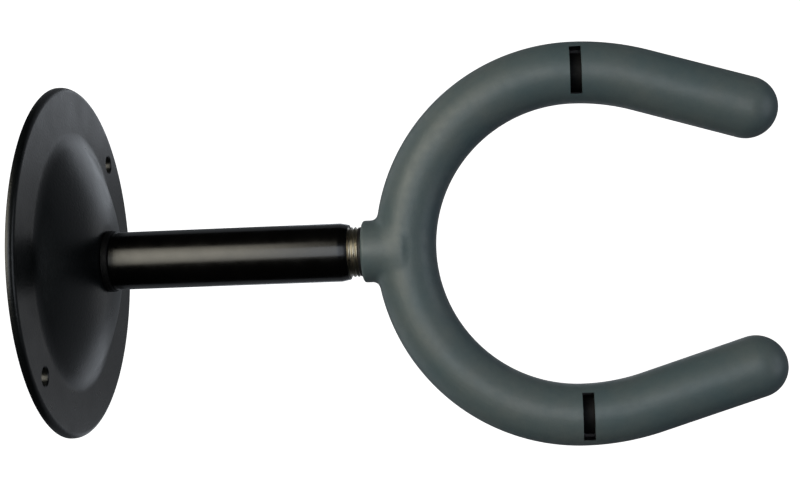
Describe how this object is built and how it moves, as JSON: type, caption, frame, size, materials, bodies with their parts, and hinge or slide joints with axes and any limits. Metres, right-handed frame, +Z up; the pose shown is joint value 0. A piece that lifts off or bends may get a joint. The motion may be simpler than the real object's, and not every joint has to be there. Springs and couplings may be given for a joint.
{
  "type": "wall guitar hanger",
  "caption": "Domed round steel wall plate, short round post and a foam-padded U-shaped yoke that swivels on the post to hold a guitar by its headstock.",
  "frame": {"origin": "centre of the wall plate's rear rim, in the plane of the wall", "axes": "+Y into the wall along the post's axis, so the post stands out along -Y; +Z up; the yoke lies in the XY plane"},
  "size_m": [0.1044, 0.1872, 0.0938],
  "materials": {
    "plate_finish": "satin black powder coat",
    "post_finish": "gloss black enamel",
    "plug_finish": "matte black paint",
    "zinc_plate": "bright zinc plating",
    "weld_steel": "as-welded steel",
    "core_finish": "black oxide",
    "black_nylon": "moulded nylon",
    "white_nylon": "moulded nylon",
    "foam_rubber": "moulded foam rubber with a smooth skin"
  },
  "bodies": {
    "wall_bracket": {"wall_plate": "plate_finish", "plate_bolt": "zinc_plate", "plate_lock_washer": "zinc_plate", "plate_washer": "zinc_plate", "post_base_plug": "plug_finish", "post_tube": "post_finish", "swivel_bushing": "zinc_plate"},
    "yoke": {"front_thrust_washer": "black_nylon", "rear_thrust_washer": "black_nylon", "retaining_washer": "zinc_plate", "lock_nut": "zinc_plate", "lock_nut_insert": "white_nylon", "yoke_stem": "zinc_plate", "stem_weld": "weld_steel", "yoke_core": "core_finish", "yoke_cushion": "foam_rubber"}
  },
  "joints": [
    {"name": "yoke_swivel", "type": "hinge", "parent": "wall_bracket", "child": "yoke", "pos_m": [0, -0.0765, 0], "axis": [0, -1, 0], "continuous": true}
  ]
}
